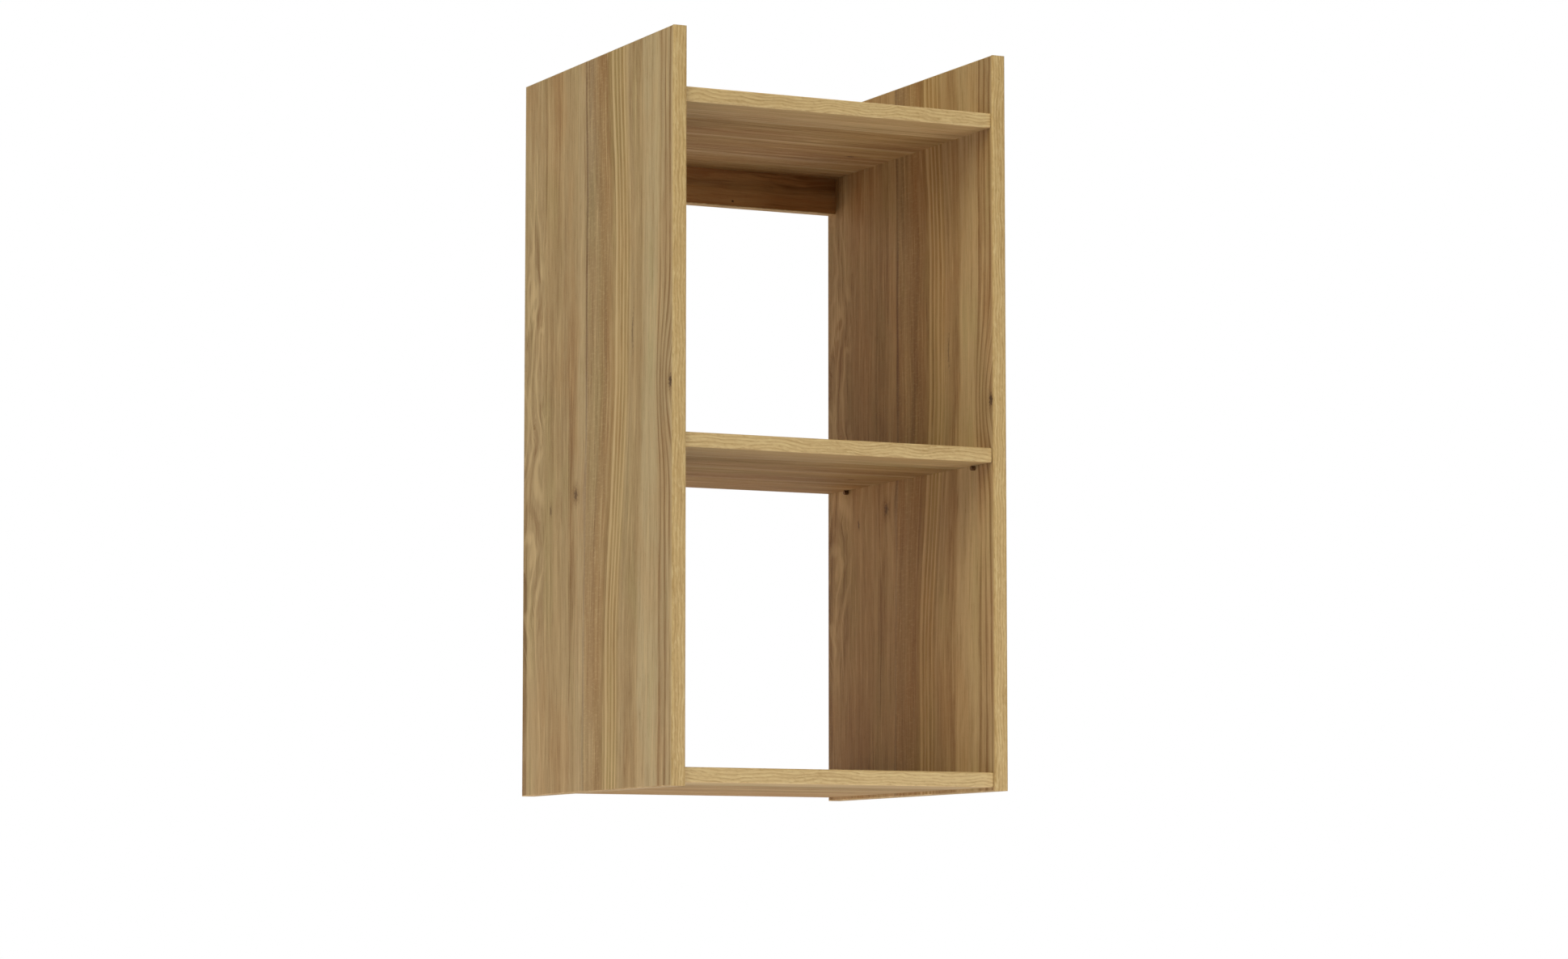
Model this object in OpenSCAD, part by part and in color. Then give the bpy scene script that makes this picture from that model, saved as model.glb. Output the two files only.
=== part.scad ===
// Open hanging wall cabinet: two tall side panels, a top panel set down between them,
// a loose shelf on pins, a bottom panel and a hanging rail. Millimetres, +Z up.
// The front looks along -Y. The origin is the middle of the cabinet's footprint, at the sides' feet.

/* [Cabinet] */
// Width over the side panels
cab_w = 400; // [300:10:600]
// Depth of the side panels, front edge to wall
cab_d = 400; // [380:10:450]
// Height of the side panels
cab_h = 804; // [700:4:1000]
// Thickness of every board
board_t = 16; // [15:1:19]

/* [Panels] */
// Height of the side panels above the top panel
top_drop = 64; // [64:4:80]
// Height of the bottom panel above the side panels' feet
bottom_lift = 4; // [2:1:30]
// Height of the shelf's underside above the feet
shelf_z = 356; // [200:4:450]
// How far the level boards stand back from the side panels' front edges
front_setback = 4; // [2:1:10]
// How far the top panel and the rail stand in from the wall
wall_gap = 4; // [2:1:8]
// Height of the hanging rail
rail_h = 42; // [40:1:90]
// Gap between the loose shelf and each side panel
shelf_gap = 0.5; // [0.4:0.1:1]

/* [Edging] */
// Thickness of the front edging, which is also its corner radius
front_band_t = 2; // [1:0.5:3]
// Thickness of the edging on the other edges
thin_band_t = 1; // [0.5:0.5:2]

/* [Shelf pins] */
// Diameter of a shelf pin
pin_d = 5; // [4:0.5:6]
// How far a pin stands out of the side panel
pin_out = 5; // [4:1:8]
// Front pins, behind the side panels' front edge
pin_front = 44; // [30:1:70]
// Rear pins, in front of the wall
pin_rear = 50; // [30:1:80]

/* [Cam fittings] */
// Diameter of a cam
cam_d = 15; // [12:1:15]
// Distance from a panel's end to the middle of its cams
cam_reach = 24; // [24:1:34]
// Distance from a panel's front or rear edge to its cams
cam_inset = 46; // [40:1:60]
// Distance from a cam to the dowel beside it
dowel_step = 32; // [24:1:40]
// Diameter of the wooden dowels
dowel_d = 8; // [6:1:8]

/* [Hangers] */
// Height of a hanger's steel channel
hanger_h = 56; // [54:1:58]
// Travel of a hanger's hook, up and down from the middle
hook_travel = 7; // [3:1:8]
// Thickness of a hook's plate
hook_t = 3; // [2:0.5:4]

/* [Hidden] */
$fn = 48;
CUT = 1;
inner_x = cab_w / 2 - board_t;
front_y = -cab_d / 2;
wall_y = cab_d / 2;
level_front_y = front_y + front_setback;
set_in_y = wall_y - wall_gap;
top_z = cab_h - top_drop - board_t;
rail_z = top_z - rail_h;
rail_y = set_in_y - board_t;

SLIP = 0.1;
bolt_d = 5;
bolt_bore_d = 8;
bolt_depth = 11;
cam_h = 12;
cam_below = 4.5;
cam_play = 0.2;
cam_r = cam_d / 2 - cam_play;
cam_sink = 1;
screw_d = 6.3;
screw_depth = 12;
dowel_side = 10;
dowel_panel = 20;
cap_t = 0.9;
plug_d = 3;
pin_depth = 8;
pin_z = shelf_z - pin_d / 2 - 0.3;
pin_ys = [front_y + pin_front, wall_y - pin_rear];
rail_cam_z = rail_z + 31;
rail_dowel_z = rail_z + 11;

steel_t = 1.5;
hanger_z = cab_h - hanger_h - 4;
hanger_w = 15.5;
hanger_rear_y = set_in_y - 2;
hanger_front_y = hanger_rear_y - 43;
screw_x = inner_x - 8;
screw_y = wall_y - 32;
hook_z = hanger_z + hanger_h / 2;
hook_nose_y = wall_y - 1;
fix_y = hanger_front_y + 6.5;
fix_zs = [hanger_z + 12, hanger_z + hanger_h - 12];
thread_r = 3;
PLAY = 0.08;

OAK = [0.72, 0.58, 0.36];
OAK_EDGE = [0.80, 0.68, 0.44];
BEECH = [0.82, 0.68, 0.48];
ZINC = [0.70, 0.71, 0.73];
STEEL = [0.62, 0.63, 0.65];
BRONZE = [0.24, 0.14, 0.08];
TAN = [0.66, 0.52, 0.33];
WHITE = [0.90, 0.90, 0.88];

// ---- shared shapes ----

// A strip of edging standing along +Z. Its outer face looks along -Y and has round corners.
module edging(length, width, thick) {
    linear_extrude(length)
        intersection() {
            translate([-width / 2, 0]) square([width, thick]);
            union() {
                translate([-width / 2 + thick, 0]) square([width - 2 * thick, thick]);
                for (side = [-1, 1])
                    translate([side * (width / 2 - thick), thick]) circle(thick);
            }
        }
}

// A strip along +X, looking forwards
module front_strip(length, thick) {
    rotate([0, 90, 0]) edging(length, board_t, thick);
}

// A strip along +X, looking back
module rear_strip(length, thick) {
    rotate([180, 0, 0]) front_strip(length, thick);
}

// A pin or screw turned from a list of [radius, height] points, along +Z
module turned(profile) {
    rotate_extrude() polygon(concat([[0, profile[0][1]]], profile, [[0, profile[len(profile) - 1][1]]]));
}

// Puts its child, which stands along +Z, on a side panel's inner face, pointing into the cabinet
module from_side(side, y, z) {
    translate([side * inner_x, y, z]) rotate([0, -side * 90, 0]) children();
}

// Puts its child, which stands along +Z, on a side panel's inner face, pointing into the panel
module into_side(side, y, z) {
    translate([side * inner_x, y, z]) rotate([0, side * 90, 0]) children();
}

// A blind bore along +Z for a pin, dowel or screw, a little wider and deeper than it
module bore(d, depth) {
    translate([0, 0, -CUT]) cylinder(d = d + SLIP, h = depth + 2 * CUT);
}

// Left part made as the mirror image of a right part
module on_side(side) {
    if (side < 0) mirror([1, 0, 0]) children();
    else children();
}

// ---- where the fittings are ----

function level_rows(rear_y, step) =
    [level_front_y + cam_inset + step, rear_y - cam_inset - step];
top_cam_ys = level_rows(set_in_y, 0);
top_dowel_ys = level_rows(set_in_y, dowel_step);
bottom_cam_ys = level_rows(wall_y, 0);
bottom_dowel_ys = level_rows(wall_y, dowel_step);
rail_mid_y = rail_y + board_t / 2;

// ---- boards ----

// Bores that a side panel carries for one level board
module side_bores(side, cam_ys, dowel_ys, z) {
    for (y = cam_ys) into_side(side, y, z) bore(bolt_d, bolt_depth);
    for (y = dowel_ys) into_side(side, y, z) bore(dowel_d, dowel_side);
}

module side_panel(side) {
    inset = thin_band_t;
    color(OAK)
        difference() {
            translate([side < 0 ? -cab_w / 2 : inner_x, front_y + front_band_t, inset])
                cube([board_t, cab_d - front_band_t - thin_band_t, cab_h - 2 * inset]);
            side_bores(side, top_cam_ys, top_dowel_ys, top_z + board_t / 2);
            side_bores(side, bottom_cam_ys, bottom_dowel_ys, bottom_lift + board_t / 2);
            side_bores(side, [rail_mid_y], [], rail_cam_z);
            side_bores(side, [], [rail_mid_y], rail_dowel_z);
            for (y = pin_ys)
                into_side(side, y, pin_z) bore(pin_d, pin_depth);
            for (z = fix_zs)
                into_side(side, fix_y, z) bore(screw_d, screw_depth);
        }
}

// Bores in one end of a level board: from its face for the cam, from its end for the bolt and dowels
module end_bores(side, cam_ys, dowel_ys) {
    for (y = cam_ys) {
        translate([side * (inner_x - cam_reach), y, board_t / 2 - cam_below])
            cylinder(d = cam_d, h = board_t);
        from_side(side, y, board_t / 2) bore(bolt_bore_d, cam_reach);
    }
    for (y = dowel_ys) from_side(side, y, board_t / 2) bore(dowel_d, dowel_panel);
}

module level_panel(rear_y, cam_ys, dowel_ys) {
    color(OAK)
        difference() {
            translate([-inner_x, level_front_y + front_band_t, 0])
                cube([2 * inner_x, rear_y - level_front_y - front_band_t - thin_band_t, board_t]);
            for (side = [-1, 1]) end_bores(side, cam_ys, dowel_ys);
        }
}

module top_panel() {
    translate([0, 0, top_z]) level_panel(set_in_y, top_cam_ys, top_dowel_ys);
}

module bottom_panel() {
    translate([0, 0, bottom_lift]) level_panel(wall_y, bottom_cam_ys, bottom_dowel_ys);
}

module shelf() {
    half = inner_x - shelf_gap;
    color(OAK)
        translate([-half, level_front_y + front_band_t, shelf_z])
            cube([2 * half, wall_y - level_front_y - front_band_t - thin_band_t, board_t]);
}

module hanging_rail() {
    color(OAK)
        difference() {
            translate([-inner_x, rail_y, rail_z + thin_band_t])
                cube([2 * inner_x, board_t, rail_h - thin_band_t]);
            for (side = [-1, 1]) {
                translate([side * (inner_x - cam_reach), rail_mid_y - cam_below, rail_cam_z])
                    rotate([-90, 0, 0]) cylinder(d = cam_d, h = board_t);
                from_side(side, rail_mid_y, rail_cam_z) bore(bolt_bore_d, cam_reach);
                from_side(side, rail_mid_y, rail_dowel_z) bore(dowel_d, dowel_panel);
            }
        }
}

// ---- edging ----

module side_front_edging(side) {
    color(OAK_EDGE)
        translate([side * (cab_w - board_t) / 2, front_y, 0]) edging(cab_h, board_t, front_band_t);
}

module side_rear_edging(side) {
    color(OAK_EDGE)
        translate([side * (cab_w - board_t) / 2, wall_y, 0])
            rotate([0, 0, 180]) edging(cab_h, board_t, thin_band_t);
}

module side_top_edging(side) {
    color(OAK_EDGE)
        translate([side * (cab_w - board_t) / 2, front_y + front_band_t, cab_h])
            rotate([-90, 0, 0]) edging(cab_d - front_band_t - thin_band_t, board_t, thin_band_t);
}

module side_foot_edging(side) {
    color(OAK_EDGE)
        translate([side * (cab_w - board_t) / 2, wall_y - thin_band_t, 0])
            rotate([90, 0, 0]) edging(cab_d - front_band_t - thin_band_t, board_t, thin_band_t);
}

module level_front_edging(half, z) {
    color(OAK_EDGE)
        translate([-half, level_front_y, z + board_t / 2]) front_strip(2 * half, front_band_t);
}

module level_rear_edging(half, y, z) {
    color(OAK_EDGE)
        translate([-half, y, z + board_t / 2]) rear_strip(2 * half, thin_band_t);
}

module rail_edging() {
    color(OAK_EDGE)
        translate([-inner_x, rail_mid_y, rail_z])
            rotate([90, 0, 0]) front_strip(2 * inner_x, thin_band_t);
}

// ---- cam fittings ----

// A cam below a board's face, z = 0, with its turning cross at the top and its mouth towards +X
module cam() {
    difference() {
        translate([0, 0, -cam_h]) cylinder(r = cam_r, h = cam_h - cam_sink);
        translate([-3.5, -3.5, -board_t / 2 - 3.5]) cube([cam_d, 7, 7]);
        translate([0, 0, -cam_sink - 2.5]) cylinder(d = plug_d + 0.4, h = 4);
        for (turn = [0, 90])
            rotate([0, 0, turn + 45]) translate([-3.2, -0.6, -cam_sink - 2]) cube([6.4, 1.2, 4]);
    }
}

// A bolt that screws into a side panel and ends in a cam, along +Z from the panel's inner face
module cam_bolt() {
    turned([
        [1.5, -bolt_depth], [bolt_d / 2, -bolt_depth + 1.5], [bolt_d / 2, 0], [3.6, 0], [3.6, 2.5],
        [2.7, 2.5], [2.7, cam_reach - 4.5], [2, cam_reach - 4], [2, cam_reach - 1], [3.2, cam_reach - 0.5],
        [3.2, cam_reach + 1.8], [2.5, cam_reach + 2.5],
    ]);
}

module dowel() {
    r = dowel_d / 2;
    turned([
        [r - 1, -dowel_side], [r, -dowel_side + 1], [r, dowel_panel - 1], [r - 1, dowel_panel],
    ]);
}

// Cap that fills the bore above a cam, a little below the board's face, z = 0
module cam_cap() {
    top = cap_t - cam_sink;
    turned([
        [plug_d / 2, -cam_sink - 2], [plug_d / 2, -cam_sink], [cam_r, -cam_sink],
        [cam_r, top - 0.3], [cam_r - 0.3, top],
    ]);
}

// Puts its child at each cam of a level board, with z = 0 on the board's upper face
module at_level_cams(cam_ys, z) {
    for (side = [-1, 1], y = cam_ys)
        translate([side * (inner_x - cam_reach), y, z + board_t]) on_side(side) children();
}

// Puts its child at each cam of the rail, with z = 0 on the rail's rear face
module at_rail_cams() {
    for (side = [-1, 1])
        translate([side * (inner_x - cam_reach), set_in_y, rail_cam_z])
            rotate([-90, 0, 0]) on_side(side) children();
}

// Puts its child at each place on both side panels, along +Z into the cabinet
module at_sides(ys, z) {
    for (side = [-1, 1], y = ys) from_side(side, y, z) children();
}

module top_cams() { color(ZINC) at_level_cams(top_cam_ys, top_z) cam(); }
module bottom_cams() { color(ZINC) at_level_cams(bottom_cam_ys, bottom_lift) cam(); }
module rail_cams() { color(ZINC) at_rail_cams() cam(); }

module top_cam_bolts() { color(STEEL) at_sides(top_cam_ys, top_z + board_t / 2) cam_bolt(); }
module bottom_cam_bolts() { color(STEEL) at_sides(bottom_cam_ys, bottom_lift + board_t / 2) cam_bolt(); }
module rail_cam_bolts() { color(STEEL) at_sides([rail_mid_y], rail_cam_z) cam_bolt(); }

module top_dowels() { color(BEECH) at_sides(top_dowel_ys, top_z + board_t / 2) dowel(); }
module bottom_dowels() { color(BEECH) at_sides(bottom_dowel_ys, bottom_lift + board_t / 2) dowel(); }
module rail_dowels() { color(BEECH) at_sides([rail_mid_y], rail_dowel_z) dowel(); }

module top_cam_caps() { color(TAN) at_level_cams(top_cam_ys, top_z) cam_cap(); }
module bottom_cam_caps() { color(TAN) at_level_cams(bottom_cam_ys, bottom_lift) cam_cap(); }
module rail_cam_caps() { color(TAN) at_rail_cams() cam_cap(); }

// ---- shelf pins ----

module shelf_pins() {
    r = pin_d / 2;
    color(BRONZE)
        at_sides(pin_ys, pin_z)
            turned([[r - 0.5, -pin_depth], [r, -pin_depth + 0.5], [r, pin_out - 0.5], [r - 0.5, pin_out]]);
}

// ---- hangers ----

// Folded steel channel on the side panel: a plate and two flanges
module hanger_channel() {
    flange_d = hanger_rear_y - hanger_front_y;
    color(STEEL)
        difference() {
            union() {
                translate([inner_x - steel_t, hanger_front_y, hanger_z]) cube([steel_t, flange_d, hanger_h]);
                for (z = [hanger_z, hanger_z + hanger_h - steel_t])
                    translate([inner_x - hanger_w, hanger_front_y, z]) cube([hanger_w, flange_d, steel_t]);
            }
            translate([screw_x, screw_y, hanger_z - CUT])
                cylinder(r = thread_r + PLAY, h = hanger_h + 2 * CUT);
            for (z = fix_zs)
                from_side(1, fix_y, z)
                    translate([0, 0, -CUT]) cylinder(d = screw_d + 3 * SLIP, h = steel_t + 2 * CUT);
        }
}

// Cast hook: a block on the height screw, and a plate whose nose hangs on the wall plate
module hook() {
    block = 10;
    block_h = 26 - 2 * hook_travel;
    shank = 10;
    mouth_y = hook_nose_y - 9;
    lip_y = hook_nose_y - 3.5;
    nose = [
        [screw_y + block / 2, -shank], [mouth_y, -shank], [mouth_y, 2], [lip_y, 2], [lip_y, -8],
        [hook_nose_y, -8], [hook_nose_y, 6], [hook_nose_y - 2, 8], [screw_y + block / 2, 8],
        [screw_y, block_h / 2], [screw_y, -block_h / 2],
    ];
    color(ZINC)
        difference() {
            union() {
                translate([screw_x - block / 2, screw_y - block / 2, hook_z - block_h / 2])
                    cube([block, block, block_h]);
                translate([screw_x - hook_t / 2, 0, hook_z])
                    rotate([90, 0, 90]) linear_extrude(hook_t) polygon(nose);
            }
            translate([screw_x, screw_y, hook_z - hook_travel - shank])
                cylinder(r = thread_r + PLAY, h = 2 * (hook_travel + shank));
        }
}

// Height screw: head above the channel, a collar under its upper flange, and a long thread
module height_screw() {
    flange_z = hanger_z + hanger_h;
    collar_z = flange_z - steel_t - 2.3;
    color(STEEL)
        translate([screw_x, screw_y, 0])
            difference() {
                turned([
                    [thread_r - 0.5, hanger_z - 1.2], [thread_r, hanger_z - 0.6], [thread_r, collar_z],
                    [4.2, collar_z], [4.2, collar_z + 2], [thread_r, collar_z + 2],
                    [thread_r, flange_z + 0.3], [4.6, flange_z + 0.3],
                    [4.6, flange_z + 2.4], [3.8, flange_z + 3.2],
                ]);
                for (turn = [0, 90])
                    rotate([0, 0, turn]) translate([-2.8, -0.6, flange_z + 1.2]) cube([5.6, 1.2, 3]);
            }
}

// Moulded cover over the channel's front and inner side, open at the top for the screwdriver
module hanger_cover() {
    wall = 1.2;
    gap = 0.3;
    cover_x = inner_x - hanger_w - gap - wall;
    cover_y = hanger_front_y - gap - wall;
    color(WHITE)
        union() {
            translate([cover_x, cover_y, hanger_z])
                cube([wall, hanger_rear_y - cover_y, hanger_h]);
            translate([cover_x, cover_y, hanger_z]) cube([inner_x - cover_x, wall, hanger_h]);
            for (z = [hanger_z + steel_t + gap, hanger_z + hanger_h - steel_t - gap - wall])
                translate([cover_x, cover_y, z]) cube([4, 8, wall]);
        }
}

module hanger_screws() {
    color(STEEL)
        for (z = fix_zs)
            difference() {
                from_side(1, fix_y, z)
                    turned([
                        [2, -screw_depth], [screw_d / 2, -screw_depth + 1.5], [screw_d / 2, steel_t],
                        [4.5, steel_t], [4.5, steel_t + 1.4], [3.6, steel_t + 2.2],
                    ]);
                for (turn = [0, 90])
                    from_side(1, fix_y, z)
                        rotate([0, 0, turn]) translate([-2.4, -0.5, steel_t + 0.8]) cube([4.8, 1, 3]);
            }
}

// ---- nodes ----

shelf_half = inner_x - shelf_gap;

side_panel(-1);  // left_side
side_panel(1);  // right_side
top_panel();
bottom_panel();
shelf();
hanging_rail();

side_front_edging(-1);  // left_front_edging
side_rear_edging(-1);  // left_rear_edging
side_top_edging(-1);  // left_top_edging
side_foot_edging(-1);  // left_foot_edging
side_front_edging(1);  // right_front_edging
side_rear_edging(1);  // right_rear_edging
side_top_edging(1);  // right_top_edging
side_foot_edging(1);  // right_foot_edging
level_front_edging(inner_x, top_z);  // top_front_edging
level_rear_edging(inner_x, set_in_y, top_z);  // top_rear_edging
level_front_edging(inner_x, bottom_lift);  // bottom_front_edging
level_rear_edging(inner_x, wall_y, bottom_lift);  // bottom_rear_edging
level_front_edging(shelf_half, shelf_z);  // shelf_front_edging
level_rear_edging(shelf_half, wall_y, shelf_z);  // shelf_rear_edging
rail_edging();

top_cams();
bottom_cams();
rail_cams();
top_cam_bolts();
bottom_cam_bolts();
rail_cam_bolts();
top_dowels();
bottom_dowels();
rail_dowels();
top_cam_caps();
bottom_cam_caps();
rail_cam_caps();

shelf_pins();

on_side(-1) hanger_channel();  // left_hanger_channel
on_side(-1) hook();  // left_hook
on_side(-1) height_screw();  // left_height_screw
on_side(-1) hanger_cover();  // left_hanger_cover
on_side(-1) hanger_screws();  // left_hanger_screws
on_side(1) hanger_channel();  // right_hanger_channel
on_side(1) hook();  // right_hook
on_side(1) height_screw();  // right_height_screw
on_side(1) hanger_cover();  // right_hanger_cover
on_side(1) hanger_screws();  // right_hanger_screws
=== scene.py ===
"""Looks of the open hanging wall cabinet: oak-pattern boards, fittings, camera, light and floor."""

from math import pi, radians

import bmesh
import bpy
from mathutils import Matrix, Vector


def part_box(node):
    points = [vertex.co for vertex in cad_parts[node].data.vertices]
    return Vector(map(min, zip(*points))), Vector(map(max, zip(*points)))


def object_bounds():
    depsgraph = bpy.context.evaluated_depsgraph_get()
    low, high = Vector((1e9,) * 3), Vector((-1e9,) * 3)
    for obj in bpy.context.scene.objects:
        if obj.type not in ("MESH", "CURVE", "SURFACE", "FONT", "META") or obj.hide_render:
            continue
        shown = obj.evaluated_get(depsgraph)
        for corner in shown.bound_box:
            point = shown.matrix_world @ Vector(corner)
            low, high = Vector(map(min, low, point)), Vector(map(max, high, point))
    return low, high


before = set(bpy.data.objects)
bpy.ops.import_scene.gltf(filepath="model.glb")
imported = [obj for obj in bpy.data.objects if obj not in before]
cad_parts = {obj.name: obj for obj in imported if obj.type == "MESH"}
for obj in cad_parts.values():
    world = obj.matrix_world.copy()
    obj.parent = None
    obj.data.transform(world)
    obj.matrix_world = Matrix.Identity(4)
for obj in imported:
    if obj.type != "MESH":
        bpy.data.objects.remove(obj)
cad_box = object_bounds()

MM = 0.001
FAR_OFF = (2.0, 3.0)  # metres, beyond the cabinet

# ---- colours, as linear red, green and blue ----

# Staves of the oak
CREAM = (0.57, 0.46, 0.28)
PALE = (0.525, 0.4, 0.235)
KHAKI = (0.475, 0.35, 0.193)
STRAW = (0.455, 0.327, 0.172)
GOLD = (0.5, 0.345, 0.16)
HONEY = (0.455, 0.315, 0.137)
TAN = (0.42, 0.29, 0.133)
ROSE = (0.395, 0.258, 0.12)
RUSSET = (0.425, 0.298, 0.157)
GLUE = (0.385, 0.285, 0.18)
# CHESTNUT and UMBER, the rail's staves, are redder than the boards': painted warm shade.
CHESTNUT = (0.49, 0.268, 0.11)
UMBER = (0.415, 0.225, 0.09)
# What is mixed in: bright lines of the oak, bright flecks of the edging, knots
SPRING = (0.72, 0.56, 0.32)
GLEAM = (0.86, 0.70, 0.41)
KNOT = (0.085, 0.042, 0.020)
# What the wood is multiplied by
SUMMER = (0.58, 0.47, 0.36)
BLUSH = (1.0, 0.935, 0.88)
MOSS = (0.95, 1.0, 0.95)
LILAC = (0.88, 0.90, 1.0)

# Edging: the darker and the lighter tone of the front strips and of the thin ones
UPRIGHT_TONE = ((0.705, 0.52, 0.265), (0.79, 0.60, 0.315))
LEVEL_TONE = ((0.765, 0.58, 0.315), (0.845, 0.67, 0.385))
THIN_TONE = ((0.46, 0.325, 0.16), (0.52, 0.375, 0.19))

# Fittings and floor, each from one tone to the other
BEECH = ((0.60, 0.43, 0.28), (0.76, 0.59, 0.41))
BEECH_FLECK = (0.36, 0.21, 0.11)
ZINC = ((0.43, 0.44, 0.46), (0.66, 0.67, 0.69))
PLATING = ((0.66, 0.69, 0.74), (0.76, 0.73, 0.66))
SPANGLE = ((0.58, 0.60, 0.62), (0.70, 0.71, 0.72))
GRIME = (0.34, 0.34, 0.33)
BRONZE = ((0.17, 0.10, 0.05), (0.32, 0.20, 0.11))
CAP_PLASTIC = ((0.40, 0.27, 0.15), (0.46, 0.32, 0.18))
COVER_PLASTIC = ((0.74, 0.73, 0.69), (0.82, 0.81, 0.78))
FLOOR_TONE = ((0.80, 0.79, 0.77), (0.86, 0.86, 0.85))


# ---- numbers that shader nodes work out ----

NOISE_LOW = 0.28
NOISE_MIDDLE = 0.5
NOISE_HIGH = 0.72


class Num:
    """A number that shader nodes work out at each point of a surface."""

    def __init__(self, tree, socket):
        self.tree = tree
        self.socket = socket

    def math(self, kind, *others):
        node = self.tree.nodes.new("ShaderNodeMath")
        node.operation = kind
        for slot, value in zip(node.inputs, (self, *others)):
            plug(slot, value)
        return Num(self.tree, node.outputs[0])

    def __add__(self, other):
        return self.math("ADD", other)

    def __sub__(self, other):
        return self.math("SUBTRACT", other)

    def __mul__(self, other):
        return self.math("MULTIPLY", other)

    def __truediv__(self, other):
        return self.math("DIVIDE", other)

    def clamped(self):
        return self.math("MAXIMUM", 0.0).math("MINIMUM", 1.0)

    def ramp(self, low, high, to_low=0.0, to_high=1.0):
        """Goes smoothly from to_low to to_high while this number goes from low to high."""
        node = self.tree.nodes.new("ShaderNodeMapRange")
        node.interpolation_type = "SMOOTHSTEP"
        for slot, value in zip(node.inputs, (self, low, high, to_low, to_high)):
            plug(slot, value)
        return Num(self.tree, node.outputs[0])

    def window(self, start, full, fade, end):
        """Rises to 1 from start to full, and falls back to 0 from fade to end."""
        return self.ramp(start, full) * self.ramp(end, fade)

    def bell(self, middle, width):
        """1 at the middle, and falls smoothly to 0 over about twice the width on both sides."""
        off = (self - middle) / width
        return (off * off * -1.0).math("EXPONENT")

    def peaks(self, start=NOISE_MIDDLE):
        """Where noise is high: 0 up to start, 1 at the top."""
        return self.ramp(start, NOISE_HIGH)

    def hollows(self, start=NOISE_MIDDLE):
        """Where noise is low: 0 down to start, 1 at the bottom."""
        return self.ramp(start, NOISE_LOW)

    def swing(self, reach):
        """Turns noise into a shift of up to half the reach either way."""
        return (self - NOISE_MIDDLE) * reach


def plug(slot, value):
    """Links a worked-out number or colour into a shader socket, or sets a plain one on it."""
    if isinstance(value, Num):
        value.tree.links.new(value.socket, slot)
    elif isinstance(value, bpy.types.NodeSocket):
        value.node.id_data.links.new(value, slot)
    elif isinstance(value, tuple):
        slot.default_value = (*value, 1.0)
    else:
        slot.default_value = value


def layered(*parts):
    """Adds up (number, share) pairs, and keeps the sum between 0 and 1."""
    weighted = [number * share for number, share in parts]
    total = weighted[0]
    for number in weighted[1:]:
        total = total + number
    return total.clamped()


def blank(name, metallic=0.0):
    """A new material, its node tree and its shader."""
    material = bpy.data.materials.new(name)
    material.use_nodes = True
    shader = material.node_tree.nodes["Principled BSDF"]
    shader.inputs["Metallic"].default_value = metallic
    return material, material.node_tree, shader


def place(tree):
    """The point's place in the frame, in metres."""
    coordinates = tree.nodes.new("ShaderNodeTexCoord")
    split = tree.nodes.new("ShaderNodeSeparateXYZ")
    tree.links.new(coordinates.outputs["Object"], split.inputs[0])
    return {axis: Num(tree, split.outputs[k]) for k, axis in enumerate("xyz")}


def board_place(tree, across, along):
    """The point's place across the grain, along it and through the board."""
    at = place(tree)
    through = next(axis for axis in "xyz" if axis not in (across, along))
    return at[across], at[along], at[through]


def vector(a, b, c):
    node = a.tree.nodes.new("ShaderNodeCombineXYZ")
    for slot, value in zip(node.inputs, (a, b, c)):
        plug(slot, value)
    return node.outputs[0]


def noise(a, b, c, detail=2.0, roughness=0.5, distortion=0.0):
    """Cloudy noise, mostly between 0.25 and 0.75, with lumps one unit across."""
    node = a.tree.nodes.new("ShaderNodeTexNoise")
    plug(node.inputs["Vector"], vector(a, b, c))
    plug(node.inputs["Scale"], 1.0)
    plug(node.inputs["Detail"], detail)
    plug(node.inputs["Roughness"], roughness)
    plug(node.inputs["Distortion"], distortion)
    return Num(a.tree, node.outputs["Fac"])


def cloud(at, size, detail=2.0, roughness=0.5):
    """Noise in space with lumps of this size."""
    return noise(*(at[axis] / size for axis in "xyz"), detail, roughness)


def sheet_noise(u, v, width, length, detail=2.0, roughness=0.5, distortion=0.0):
    """Noise that is the same all the way through a board, with lumps of this width and length."""
    return noise(u / width, v / length, 0.0, detail, roughness, distortion)


def mixed(tree, amount, below, above, kind="MIX"):
    """A colour between below and above, or above laid over below in another way."""
    node = tree.nodes.new("ShaderNodeMix")
    node.data_type = "RGBA"
    node.blend_type = kind
    slots = {slot.identifier: slot for slot in node.inputs}
    plug(slots["Factor_Float"], amount)
    plug(slots["A_Color"], below)
    plug(slots["B_Color"], above)
    return next(s for s in node.outputs if s.identifier == "Result_Color")


def banded(number, low, high, bands):
    """Colours in bands along a number from low to high; each band is (start, end, colour)."""
    node = number.tree.nodes.new("ShaderNodeValToRGB")
    plug(node.inputs[0], (number - low) / (high - low))
    stops = node.color_ramp.elements
    stops[0].position = 0.0
    stops[1].position = 1.0
    edges = [(edge, colour) for start, end, colour in bands for edge in (start, end)]
    for edge, colour in edges[1:-1]:
        stops.new((edge - low) / (high - low)).color = (*colour, 1.0)
    stops[0].color = (*bands[0][2], 1.0)
    stops[len(stops) - 1].color = (*bands[-1][2], 1.0)
    return node.outputs[0]


def relief(shader, height, depth, strength=1.0):
    """Bump of the height number, which stands for depth metres at 1."""
    tree = height.tree
    node = tree.nodes.new("ShaderNodeBump")
    node.inputs["Strength"].default_value = strength
    node.inputs["Distance"].default_value = depth
    plug(node.inputs["Height"], height)
    tree.links.new(node.outputs[0], shader.inputs["Normal"])


# ---- oak ----

STREAK_ROUGHNESS = 0.55
DRIFT_WIDTH = 45 * MM
DRIFT_LENGTH = 160 * MM
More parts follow.
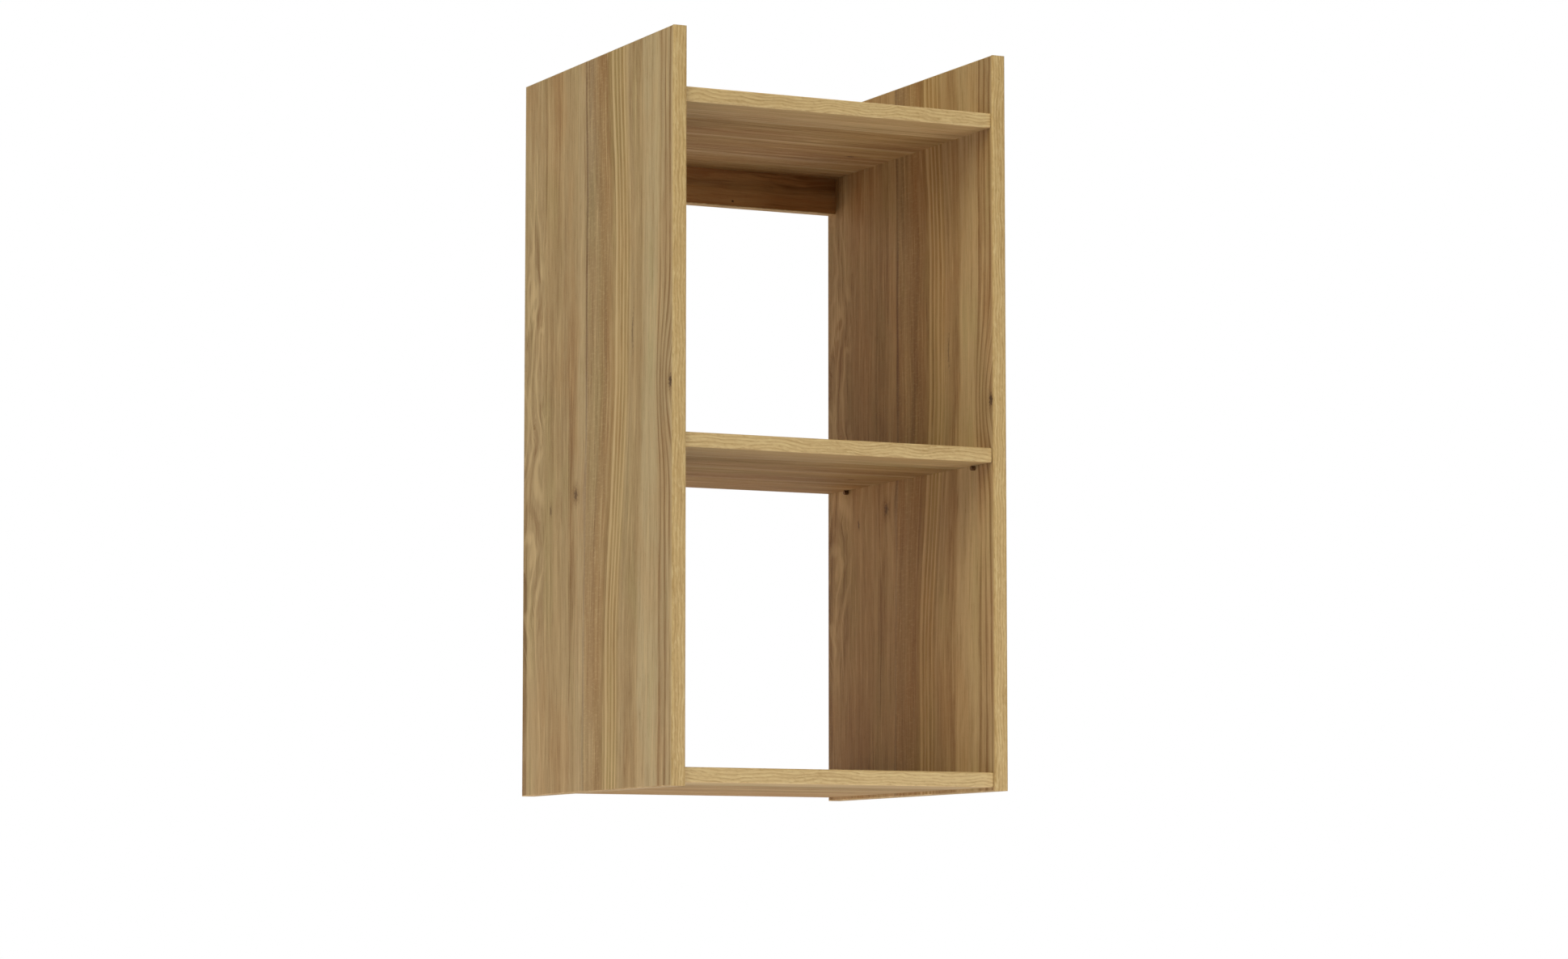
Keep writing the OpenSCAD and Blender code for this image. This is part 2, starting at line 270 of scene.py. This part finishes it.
# Streaks: a shift that keeps them apart, width and length in metres, detail, distortion
OAK_STREAKS = {
    "broad": (0.0, 11 * MM, 300 * MM, 2.5, 0.3),
    "narrow": (0.37, 4.0 * MM, 110 * MM, 2.0, 0.4),
    "crack": (0.53, 2.6 * MM, 70 * MM, 1.0, 0.0),
    "fibre": (0.71, 1.1 * MM, 30 * MM, 2.0, 0.0),
    "pore": (1.3, 0.45 * MM, 8 * MM, 1.0, 0.0),
}
EDGING_STREAKS = {
    "broad": (0.0, 4.5 * MM, 80 * MM, 2.0, 0.0),
    "fibre": (0.4, 0.8 * MM, 14 * MM, 2.0, 0.0),
    "fleck": (0.9, 1.7 * MM, 18 * MM, 2.0, 1.0),
}


def streaks(kinds, grain, v, w):
    """Noise drawn out along the grain, one number for each kind of streak."""
    found = {}
    for kind, (shift, width, length, detail, distortion) in kinds.items():
        u = grain + shift
        found[kind] = noise(u / width, v / length, w / width, detail, STREAK_ROUGHNESS, distortion)
    return found


def squared_distance(u, v, middle, size):
    """Distance from middle, squared, where 1 is on the rim; middle and size in millimetres."""
    across = (u - middle[0] * MM) / (size[0] * MM)
    along = (v - middle[1] * MM) / (size[1] * MM)
    return across * across + along * along


def knot_at(u, v, middle, size):
    """Distance from a knot's middle, 1 on its rim."""
    return squared_distance(u, v, middle, size).math("SQRT")


def bulge(u, v, middle, reach, height):
    """How far the grain is pushed aside round a knot; height in millimetres."""
    near = squared_distance(u, v, middle, reach).math("MULTIPLY", -1.0).math("EXPONENT")
    return near * (height * MM)


def growth_lines(u, v, pitch, wander):
    """Lines a pitch apart that wander along the grain; each one rises slowly to 1 and ends sharply."""
    drift = sheet_noise(u, v, 8 * pitch, 45 * pitch, 1.0) * wander
    share = (u / pitch + drift).math("FRACT")
    return share.window(0.15, 0.85, 0.86, 1.0)


def oak(name, across, along, staves, span, warp, marks, gleam=0.8, painted_warm_shade=FAR_OFF):
    """Oak-pattern board: warp bends its grain, and marks gives what is this board's own.

    Through the boards, across the span given by the last argument, the veneer takes a warm tint: painted
    warm shade, standing in for light bounced inside the cabinet.
    """
    material, tree, shader = blank(name)
    u, v, w = board_place(tree, across, along)
    grain = warp(u, v)
    found = streaks(OAK_STREAKS, grain, v, w)
    pores = found["pore"].peaks(0.58)
    dark, light, knots, tints = marks(u, v, grain)
    dark, light = oak_shades(found, pores, ray_flecks(u, v, w), dark, light)
    drift = noise(u / DRIFT_WIDTH, v / DRIFT_LENGTH, w / DRIFT_WIDTH + 5.0)
    drifts = ((drift.ramp(0.5, 0.68), BLUSH), (drift.ramp(0.5, 0.32), MOSS))
    colour = banded(grain, span[0] * MM, span[1] * MM, [(a * MM, b * MM, c) for a, b, c in staves])
    # The warm tint through the boards is painted warm shade.
    for amount, tint in (*drifts, (w.ramp(*painted_warm_shade), BLUSH), *tints, (dark, SUMMER)):
        colour = mixed(tree, amount, colour, tint, "MULTIPLY")
    colour = mixed(tree, light * gleam, colour, SPRING)
    colour = mixed(tree, knots, colour, KNOT)
    plug(shader.inputs["Base Color"], colour)
    plug(shader.inputs["Roughness"], (found["fibre"] * 0.16 + pores * 0.12 + 0.5).clamped())
    shader.inputs["Specular IOR Level"].default_value = 0.25
    relief(shader, found["fibre"] * 0.6 - pores * 0.8 - knots * 0.5, 0.06 * MM, 0.6)
    return material


def ray_flecks(u, v, w):
    """Short pale flecks that lie across the grain."""
    return noise(u / (5 * MM), v / (0.9 * MM), w / (5 * MM)).ramp(0.52, 0.75)


def oak_shades(found, pores, rays, dark, light):
    """How much the wood darkens and how much it brightens, with the board's own marks."""
    dark = layered(
        (dark, 1.0), (found["broad"].peaks(), 0.42), (found["narrow"].peaks(0.52), 0.34),
        (found["crack"].ramp(0.66, 0.78), 0.55), (found["fibre"].peaks(0.48), 0.30), (pores, 0.30),
    )
    light = layered(
        (light, 1.0), (found["broad"].hollows(), 0.36), (found["narrow"].hollows(0.46), 0.52),
        (found["fibre"].hollows(), 0.24), (rays, 0.12),
    )
    return dark, light


# Side panels: grain upright, across is y and along is z. Staves and knots in millimetres.

SIDE_SPAN = (-200, 200)
SIDE_STAVES = (
    (-200, -181, PALE), (-177, -166, PALE), (-161, -127, CREAM), (-121, -104, STRAW),
    (-98, -90, KHAKI), (-84, -61, HONEY), (-59, -55, GOLD), (-52, -46, TAN), (-40, -16, ROSE),
    (-8, 21, RUSSET), (22, 25, GLUE), (28, 46, PALE), (49, 88, KHAKI), (96, 106, STRAW),
    (112, 136, STRAW), (146, 200, KHAKI),
)
# Middle, size
FRONT_KNOT = ((-194, 425), (5.5, 9.5))
MIDDLE_KNOT = ((53, 326), (5.5, 8.0))
REAR_KNOT = ((122, 314), (2.2, 6.5))
REAR_KNOT_LEAN = -0.12
SLIT = ((-96, 488), (2.4, 26))
SLIT_BEND = 0.08
# Middle, reach and height of the bulges round the knots
BULGES = (((-194, 425), (36, 66), -26), ((42, 326), (14, 34), -7), ((114, 314), (10, 24), -6))

# Marks of the side veneer, in metres: middle and width of a bell, or where a ramp or window turns
FOOT_SLIP = (0.46, 0.14)
HEAD_SLIP = (0.58, 0.82)
SLIP_ACROSS = (-0.052, 0.07)
BURL_BEND_ACROSS = (0.172, 0.036)
BURL_BEND_ALONG = (0.40, 0.24)
BURL_ACROSS = (0.170, 0.038)
BURL_ALONG = (0.04, 0.20, 0.58, 0.78)
GOLD_ACROSS = (-0.098, -0.084, -0.054, -0.049)
GOLD_RIM = (-0.0545, 0.0018)
KNOT_RINGS = (-0.158, -0.172)
RED_STREAK = (0.064, 0.009)
RED_ALONG = (0.10, 0.27, 0.46, 0.56)
RED_LINE = (0.0665, 0.0016)
RED_LINE_ALONG = (0.08, 0.11, 0.28, 0.31)
GLUE_LINE = (0.0245, 0.0020)
GLUE_ALONG = (0.36, 0.60)
FLECKS_ACROSS = (-0.045, -0.03, 0.02, 0.03)
FRONT_RIM = (-0.192, -0.199)
# Where the painted shade along the rear rim lies, across the board and along it.
WALL_RIM = (0.186, 0.192)
WALL_RIM_ALONG = (0.42, 0.34)
UPPER_PART = (0.56, 0.70)
LILAC_ACROSS = (0.012, 0.013)
BLUSH_ACROSS = ((-0.035, 0.012), (0.115, 0.030))
# The right panel gets the warm tint all over: painted warm shade.
RIGHT_PANEL = (0.10, 0.15)  # through the boards: only the right panel lies beyond


def side_warp(u, v):
    """The staves slip back towards the foot, wander a little, and go round the knots."""
    slip = v.ramp(*FOOT_SLIP) * (-29 * MM) + v.ramp(*HEAD_SLIP) * (-12 * MM)
    wander = sheet_noise(u, v, 0.08, 0.24, 1.5).swing(12 * MM)
    burl = sheet_noise(u, v, 0.034, 0.070, 1.5, 0.5, 0.6).swing(42 * MM)
    burl = burl * u.bell(*BURL_BEND_ACROSS) * v.bell(*BURL_BEND_ALONG)
    bent = u + slip * u.bell(*SLIP_ACROSS) + wander + burl
    for middle, reach, height in BULGES:
        bent = bent + bulge(u, v, middle, reach, height)
    return bent


def gold_lines(grain, v):
    """Bright lines in the honey stave, the last one strongest."""
    lines = growth_lines(grain, v, 8.6 * MM, 0.7).ramp(0.35, 0.95)
    return (lines * 0.70 + grain.bell(*GOLD_RIM) * 0.9) * grain.window(*GOLD_ACROSS)


def burl_figure(u, v, grain):
    """Waves of the burl near the wall, from -1 to 1."""
    clouds = sheet_noise(u, v, 0.050, 0.120, 2.0, 0.5, 0.8)
    waves = ((clouds * 3.6 + grain / (38 * MM)) * (2 * pi)).math("SINE")
    return waves * u.bell(*BURL_ACROSS) * v.window(*BURL_ALONG)


def side_knots(u, v, grain):
    """How much knot there is, and how much the wood round the knots darkens."""
    ragged = sheet_noise(u, v, 2 * MM, 3 * MM).swing(2.0)
    lean = (v - REAR_KNOT[0][1] * MM) * REAR_KNOT_LEAN
    bend = (v - SLIT[0][1] * MM).math("ABSOLUTE") * SLIT_BEND
    front = knot_at(u, v, *FRONT_KNOT) + ragged
    middle = knot_at(u, v, *MIDDLE_KNOT) + ragged
    rear = knot_at(u + lean, v, *REAR_KNOT) + ragged
    slit = knot_at(grain + bend, v, *SLIT) + ragged
    knots = front.ramp(1.1, 0.2)
    for rim, share in ((middle, 0.8), (rear, 0.75), (slit, 0.5)):
        knots = knots.math("MAXIMUM", rim.ramp(1.1, 0.2) * share)
    return knots, front.ramp(2.6, 0.6) * 0.7 + middle.ramp(2.6, 0.6) * 0.7 + rear.ramp(2.6, 0.9) * 0.3


def side_dark(u, v, grain, waves, red, halo):
    """Rings at the front knot, burl, the red streak and its line, the glue line, halos of the knots."""
    rings = growth_lines(grain, v, 12 * MM, 1.6).ramp(0.3, 1.0) * grain.ramp(*KNOT_RINGS)
    patchy = sheet_noise(u, v, 0.01, 0.08, 1.0).ramp(0.25, 0.6)
    red_line = grain.bell(*RED_LINE) * v.window(*RED_LINE_ALONG)
    glue_line = grain.bell(*GLUE_LINE) * v.ramp(*GLUE_ALONG)
    return layered(
        (rings, 0.9), (waves.ramp(0.3, 1.0), 0.45), (red * patchy, 0.6), (red_line, 0.8),
        (glue_line, 1.2), (halo, 1.0),
    )


def side_light(u, v, grain, waves):
    """Gold lines, burl, short flecks in the middle staves and a worn front rim."""
    flecks = sheet_noise(u, v, 8 * MM, 2.6 * MM).peaks() * grain.window(*FLECKS_ACROSS)
    return layered(
        (gold_lines(grain, v), 1.0), (waves.ramp(-0.2, -1.0), 0.6), (flecks, 0.22),
        (u.ramp(*FRONT_RIM), 0.4),
    )


def side_marks(u, v, grain):
    """Where this veneer is darker, lighter, knotty or tinted: its own marks, and painted shade along the
    rear rim.
    """
    waves = burl_figure(u, v, grain)
    red = grain.bell(*RED_STREAK) * v.window(*RED_ALONG)
    # Painted shade: darker along the rear rim of the side panels, in their lower half.
    painted_wall_shade = u.ramp(*WALL_RIM) * v.ramp(*WALL_RIM_ALONG)
    upper = v.ramp(*UPPER_PART)
    knots, halo = side_knots(u, v, grain)
    tints = [(red, BLUSH), (painted_wall_shade, SUMMER), (grain.bell(*LILAC_ACROSS) * upper, LILAC)]
    tints += [(grain.bell(*spot) * upper, BLUSH) for spot in BLUSH_ACROSS]
    return side_dark(u, v, grain, waves, red, halo), side_light(u, v, grain, waves), knots, tints


# Level boards: grain from side to side, across is y and along is x

LEVEL_SPAN = (-200, 200)
LEVEL_STAVES = (
    (-200, -162, STRAW), (-156, -124, PALE), (-118, -114, CREAM), (-108, -66, TAN), (-58, -26, ROSE),
    (-20, -16, PALE), (-10, 34, TAN), (42, 72, ROSE), (78, 84, PALE), (92, 140, TAN),
    (148, 200, ROSE),
)
LEVEL_KNOT = ((38, 131), (2.6, 5.0))
ARCHES_BEND = (-0.08, 0.05)
ARCHES_ACROSS = (-0.09, 0.05)
LINES_ACROSS = (0.06, 0.035)
LEVEL_FLECKS = (0.12, 0.05)
FRONT_GLEAM = (-0.11, -0.19)
WARMER_MIDDLE = (-0.08, 0.02)
WARMER_REAR = (0.0, 0.15)


def level_warp(u, v):
    wander = sheet_noise(u, v, 0.10, 0.30, 1.5).swing(12 * MM)
    arch = sheet_noise(u, v, 0.045, 0.12, 1.0).swing(9 * MM)
    return u + wander + arch * u.bell(*ARCHES_BEND)


def level_marks(u, v, grain):
    """Arched growth lines in the front half, straight ones at the back, flecks and a small knot."""
    arches = growth_lines(grain, v, 9 * MM, 2.4) * u.bell(*ARCHES_ACROSS)
    lines = growth_lines(grain + 0.3, v, 6 * MM, 1.2) * u.bell(*LINES_ACROSS)
    flecks = sheet_noise(u, v, 2.4 * MM, 12 * MM).ramp(0.52, 0.74) * u.bell(*LEVEL_FLECKS)
    rim = knot_at(u, v, *LEVEL_KNOT)
    dark = layered((arches, 0.65), (lines, 0.45), (rim.ramp(2.4, 0.9), 0.4))
    light = layered((flecks, 0.22), (u.ramp(*FRONT_GLEAM), 0.35))
    tints = ((u.ramp(*WARMER_MIDDLE) * 0.6, BLUSH), (u.ramp(*WARMER_REAR) * 0.7, BLUSH))
    return dark, light, rim.ramp(1.1, 0.5), tints


# Hanging rail: across is z and along is x. Its redder staves are painted warm shade of the corner under the
# top panel.

RAIL_SPAN = (680, 726)
RAIL_SHADED_STAVES = ((680, 700, CHESTNUT), (704, 712, UMBER), (716, 726, CHESTNUT))
RAIL_KNOT = ((688, 51), (1.3, 1.5))
# Band along the top of the rail: wavy dark figure, also painted shade under the top panel.
TOP_FIGURE_AND_SHADE = (0.695, 0.712)
# Painted shade over the left part of the rail fades out between these places along x.
PAINTED_SHADE_END = (0.10, 0.02)


def rail_warp(u, v):
    return u + sheet_noise(u, v, 0.03, 0.09, 1.5).swing(11 * MM)


def rail_marks(u, v, grain):
    """Dark wavy figure along the top, which is also painted shade under the top panel; painted shade over
    the left part; and a tiny knot.
    """
    # Darker band along the top: a wavy figure, and painted shade under the top panel.
    top_figure_and_shade = sheet_noise(grain, v, 0.011, 0.11).ramp(0.45, 0.62) * u.ramp(*TOP_FIGURE_AND_SHADE)
    rim = knot_at(u, v, *RAIL_KNOT)
    # The darker left part of the rail is painted shade.
    return layered((top_figure_and_shade, 0.9), (v.ramp(*PAINTED_SHADE_END), 0.55)), u * 0.0, rim.ramp(1.2, 0.6), ()


# ---- edging: a plain golden strip with short wavy flecks ----


def edging(name, across, along, tone, curl, depth=0.7):
    """Edging of one direction; curl is how far its growth lines swing, in millimetres."""
    material, tree, shader = blank(name)
    u, v, w = board_place(tree, across, along)
    grain = u + noise(u / 0.05, v / 0.050, w / 0.05, 1.5).swing(curl * MM)
    found = streaks(EDGING_STREAKS, grain, v, w)
    flecks = found["fleck"].ramp(0.52, 0.64)
    dark, light = edging_shades(u, v, w, grain, found, flecks)
    colour = mixed(tree, found["broad"], *tone)
    colour = mixed(tree, dark * depth, colour, SUMMER, "MULTIPLY")
    colour = mixed(tree, light * depth, colour, GLEAM)
    plug(shader.inputs["Base Color"], colour)
    plug(shader.inputs["Roughness"], (found["fibre"] * 0.18 + 0.36).clamped())
    shader.inputs["Specular IOR Level"].default_value = 0.3
    relief(shader, found["fibre"] * 0.7 + flecks * 0.2, 0.05 * MM, 0.6)
    return material


def edging_shades(u, v, w, grain, found, flecks):
    """How much the strip darkens and how much it brightens: streaks, growth lines and slanting ripples."""
    ripples = noise(u / (2.4 * MM), (v + u * 0.9) / (5 * MM), w / (2.4 * MM))
    lines = growth_lines(grain + w * 0.5, v, 3.6 * MM, 2.4)
    dark = layered(
        (found["broad"].peaks(), 0.40), (found["fibre"].ramp(0.5, 0.75), 0.35), (lines, 0.40),
        (ripples.ramp(0.55, 0.70), 0.25),
    )
    light = layered(
        (flecks, 0.80), (found["broad"].hollows(), 0.40), (lines, -0.3),
        (ripples.ramp(0.48, 0.36), 0.30),
    )
    return dark, light


# ---- fittings ----

THREAD_TOP = 0.796  # where the height screws' thread ends, under the head


def beech():
    """Raw beech: pale and pinkish, with short brown flecks along each dowel."""
    material, tree, shader = blank("beech")
    at = place(tree)
    fibre = noise(at["x"] / 0.03, at["y"] / (0.5 * MM), at["z"] / (0.5 * MM))
    flecks = noise(at["x"] / (2.2 * MM), at["y"] / (0.35 * MM), at["z"] / (0.35 * MM), 1.0).ramp(0.6, 0.7)
    colour = mixed(tree, flecks * 0.6, mixed(tree, fibre, *BEECH), BEECH_FLECK)
    plug(shader.inputs["Base Color"], colour)
    plug(shader.inputs["Roughness"], fibre * 0.2 + 0.55)
    relief(shader, fibre - flecks, 0.05 * MM)
    return material


def cast_zinc():
    """Dull die-cast zinc with a grainy skin and darker blotches."""
    material, tree, shader = blank("zinc", 1.0)
    at = place(tree)
    skin = cloud(at, 0.35 * MM, 3.0)
    blotch = cloud(at, 4 * MM, 3.0, 0.6)
    plug(shader.inputs["Base Color"], mixed(tree, blotch.ramp(0.35, 0.65), *ZINC))
    plug(shader.inputs["Roughness"], skin * 0.3 + blotch * 0.15 + 0.25)
    relief(shader, skin, 0.05 * MM)
    return material


def plated_steel(name, thread=None):
    """Bright zinc plating with a faint straw and blue tint; thread is (x, y, pitch) of an upright screw."""
    material, tree, shader = blank(name, 1.0)
    at = place(tree)
    tint = cloud(at, 6 * MM)
    scuff = cloud(at, 0.6 * MM, 3.0)
    plug(shader.inputs["Base Color"], mixed(tree, tint.ramp(0.35, 0.65), *PLATING))
    plug(shader.inputs["Roughness"], scuff * 0.22 + 0.2)
    if thread is None:
        relief(shader, scuff, 0.02 * MM)
    else:
        relief(shader, thread_ridge(at, *thread) * 8.0 + scuff, 0.05 * MM)
    return material


def thread_ridge(at, middle_x, middle_y, pitch):
    """Ridge of a screw thread that climbs round an upright screw."""
    turn = (at["y"] - middle_y).math("ARCTAN2", at["x"] - middle_x) / (2 * pi)
    ridge = (at["z"] / pitch + turn * -1.0).math("PINGPONG", 0.5)
    return ridge * at["z"].ramp(THREAD_TOP - 0.5 * MM, THREAD_TOP + 0.5 * MM, 1.0, 0.0)


def galvanised_sheet():
    """Galvanised sheet with a fine spangle of crystals."""
    material, tree, shader = blank("galvanised_sheet", 1.0)
    at = place(tree)
    crystals = tree.nodes.new("ShaderNodeTexVoronoi")
    plug(crystals.inputs["Vector"], vector(*(at[axis] / (3 * MM) for axis in "xyz")))
    plug(crystals.inputs["Scale"], 1.0)
    split = tree.nodes.new("ShaderNodeSeparateColor")
    tree.links.new(crystals.outputs["Color"], split.inputs[0])
    facet = Num(tree, split.outputs[0])
    grime = cloud(at, 9 * MM, 3.0)
    colour = mixed(tree, grime.ramp(0.5, 0.8) * 0.35, mixed(tree, facet, *SPANGLE), GRIME)
    plug(shader.inputs["Base Color"], colour)
    plug(shader.inputs["Roughness"], facet * 0.12 + grime * 0.15 + 0.42)
    relief(shader, facet, 0.01 * MM)
    return material


def bronzed_steel():
    """Dark bronzed steel of the shelf pins, rubbed lighter in places."""
    material, tree, shader = blank("bronzed_steel", 0.6)
    rub = cloud(place(tree), 1.4 * MM, 3.0)
    plug(shader.inputs["Base Color"], mixed(tree, rub.ramp(0.5, 0.75), *BRONZE))
    plug(shader.inputs["Roughness"], rub * 0.25 + 0.3)
    relief(shader, rub, 0.02 * MM)
    return material


def moulded(name, tones, grain_size, grain_depth):
    """Moulded plastic with an eroded grain and a slightly uneven tone."""
    material, tree, shader = blank(name)
    at = place(tree)
    grain = cloud(at, grain_size)
    tone = cloud(at, 14 * MM)
    plug(shader.inputs["Base Color"], mixed(tree, tone.ramp(0.3, 0.7), *tones))
    plug(shader.inputs["Roughness"], grain * 0.2 + 0.38)
    relief(shader, grain, grain_depth)
    return material


# ---- materials on the CAD nodes ----

SIDES = ("left", "right")
BOARDS = ("top", "shelf", "bottom")
EDGE_SOFTNESS = 0.2 * MM
SHARP_ANGLE = 40  # degrees
THREAD_PITCH = 1 * MM


def dress(names, material):
    for name in names:
        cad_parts[name].data.materials.clear()
        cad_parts[name].data.materials.append(material)


def soften(names, width):
    """Breaks the sharp edges of these nodes by a hair, as real parts have them."""
    for name in names:
        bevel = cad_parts[name].modifiers.new("soft_edges", "BEVEL")
        bevel.width = width
        bevel.segments = 2
        bevel.limit_method = "ANGLE"
        bevel.angle_limit = radians(SHARP_ANGLE)


def named(*endings):
    return [name for name in sorted(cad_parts) if name.endswith(endings)]


def dress_boards():
    level = oak("oak_level", "y", "x", LEVEL_STAVES, LEVEL_SPAN, level_warp, level_marks)
    # The rail's own material, with redder staves and pale marks dimmed to gleam 0.25, is painted shade.
    rail = oak("oak_rail_painted_shade", "z", "x", RAIL_SHADED_STAVES, RAIL_SPAN, rail_warp, rail_marks, gleam=0.25)
    # The right panel's veneer is tinted warm all over: painted warm shade.
    side = oak("oak_side", "y", "z", SIDE_STAVES, SIDE_SPAN, side_warp, side_marks, painted_warm_shade=RIGHT_PANEL)
    dress(named("_side"), side)
    dress(("top_panel", "bottom_panel", "shelf"), level)
    dress(("hanging_rail",), rail)


def dress_edges():
    side_strips = [f"{side}_{end}_edging" for side in SIDES for end in ("front", "rear")]
    foot_strips = [f"{side}_{end}_edging" for side in SIDES for end in ("top", "foot")]
    level_fronts = [f"{board}_front_edging" for board in BOARDS]
    level_rears = [f"{board}_rear_edging" for board in BOARDS] + ["rail_edging"]
    dress(side_strips, edging("edging_upright", "x", "z", UPRIGHT_TONE, 9, 0.75))
    dress(foot_strips, edging("edging_foot", "x", "y", THIN_TONE, 6))
    dress(level_fronts, edging("edging_level_front", "z", "x", LEVEL_TONE, 16, 0.85))
    dress(level_rears, edging("edging_level_rear", "z", "x", THIN_TONE, 6))


def dress_fittings():
    dress(named("_dowels"), beech())
    dress(named("_cams", "_hook"), cast_zinc())
    dress(named("_cam_bolts", "_hanger_screws"), plated_steel("zinc_plated_steel"))
    for side in SIDES:
        low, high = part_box(f"{side}_height_screw")
        middle = (low + high) / 2
        thread = (middle.x, middle.y, THREAD_PITCH)
        dress((f"{side}_height_screw",), plated_steel(f"{side}_screw_plating", thread))
    dress(named("_channel"), galvanised_sheet())
    dress(("shelf_pins",), bronzed_steel())
    dress(named("_caps"), moulded("cap_plastic", CAP_PLASTIC, 0.5 * MM, 0.03 * MM))
    dress(named("_cover"), moulded("cover_plastic", COVER_PLASTIC, 0.6 * MM, 0.05 * MM))


# ---- camera, light and floor ----

CAMERA_AT = Vector((-2.2032, -4.5392, -0.1606))
CAMERA_YAW = -26.181  # degrees
CAMERA_PITCH = 5.744  # degrees
CAMERA_LENS = 105.24  # millimetres
CAMERA_SENSOR = 36.0  # millimetres
CAMERA_REACH = 60.0  # metres
FLOOR_DROP = 1.0  # metres below the cabinet's feet
FLOOR_HALF = 4.5  # metres
FLOOR_GLOW = 0.4


def add_camera():
    camera = bpy.data.cameras.new("camera")
    camera.lens = CAMERA_LENS
    camera.sensor_width = CAMERA_SENSOR
    camera.clip_end = CAMERA_REACH
    holder = bpy.data.objects.new("camera", camera)
    holder.location = CAMERA_AT
    holder.rotation_euler = (radians(90 + CAMERA_PITCH), 0.0, radians(CAMERA_YAW))
    bpy.context.scene.collection.objects.link(holder)
    bpy.context.scene.camera = holder


def add_softbox(name, at, aim, size, power, colour):
    """A square area light of this size in metres and power in watts, which looks at aim."""
    light = bpy.data.lights.new(name, "AREA")
    light.shape = "SQUARE"
    light.size = size
    light.energy = power
    light.color = colour
    holder = bpy.data.objects.new(name, light)
    holder.location = at
    holder.rotation_euler = (aim - Vector(at)).to_track_quat("-Z", "Y").to_euler()
    holder.visible_camera = False
    bpy.context.scene.collection.objects.link(holder)


def add_lights(middle):
    add_softbox("left", (-3.6, -0.6, 0.6), middle, 2.4, 14, (0.35, 0.60, 1.0))
    add_softbox("left_high", (-3.2, -1.6, 2.2), middle, 2.2, 54, (1.0, 0.86, 0.50))
    add_softbox("low_right", (1.3, -2.8, -0.3), middle, 1.1, 25, (1.0, 0.90, 0.72))
    add_softbox("top", (0.0, -0.4, 3.2), middle, 2.6, 51, (1.0, 0.95, 0.82))
    add_softbox("back", (1.6, 3.2, 1.4), middle, 2.4, 27, (1.0, 0.68, 0.42))
    add_softbox("back_left", (-1.6, 3.0, 0.8), middle, 2.2, 19, (1.0, 0.80, 0.60))
    add_softbox("back_low", (-0.6, 2.6, -0.4), middle, 1.0, 16, (1.0, 0.62, 0.36))


def add_world():
    """A white backdrop for the camera; it sheds no light on the cabinet."""
    world = bpy.data.worlds.new("studio")
    world.use_nodes = True
    background = world.node_tree.nodes["Background"]
    background.inputs["Color"].default_value = (1.0, 1.0, 1.0, 1.0)
    background.inputs["Strength"].default_value = 1.0
    world.cycles_visibility.diffuse = False
    world.cycles_visibility.glossy = False
    bpy.context.scene.world = world


def plaster():
    """Pale, slightly cloudy floor that glows faintly, like a studio's light table."""
    material, tree, shader = blank("floor")
    at = place(tree)
    clouds = noise(at["x"] / 0.4, at["y"] / 0.4, at["z"], 3.0)
    colour = mixed(tree, clouds, *FLOOR_TONE)
    plug(shader.inputs["Base Color"], colour)
    plug(shader.inputs["Emission Color"], colour)
    shader.inputs["Emission Strength"].default_value = FLOOR_GLOW
    shader.inputs["Roughness"].default_value = 0.9
    return material


def add_floor(low):
    mesh = bpy.data.meshes.new("floor")
    shape = bmesh.new()
    bmesh.ops.create_grid(shape, x_segments=8, y_segments=8, size=FLOOR_HALF)
    bmesh.ops.translate(shape, verts=shape.verts, vec=(0.0, 0.0, low.z - FLOOR_DROP))
    shape.to_mesh(mesh)
    shape.free()
    mesh.materials.append(plaster())
    floor = bpy.data.objects.new("floor", mesh)
    bpy.context.scene.collection.objects.link(floor)


dress_boards()
dress_edges()
dress_fittings()
soften(named("_side", "_panel", "shelf", "hanging_rail"), EDGE_SOFTNESS)
lowest, highest = (Vector(corner) for corner in cad_box)
add_camera()
add_lights((lowest + highest) / 2)
add_world()
add_floor(lowest)
bpy.context.scene.view_settings.view_transform = "Standard"
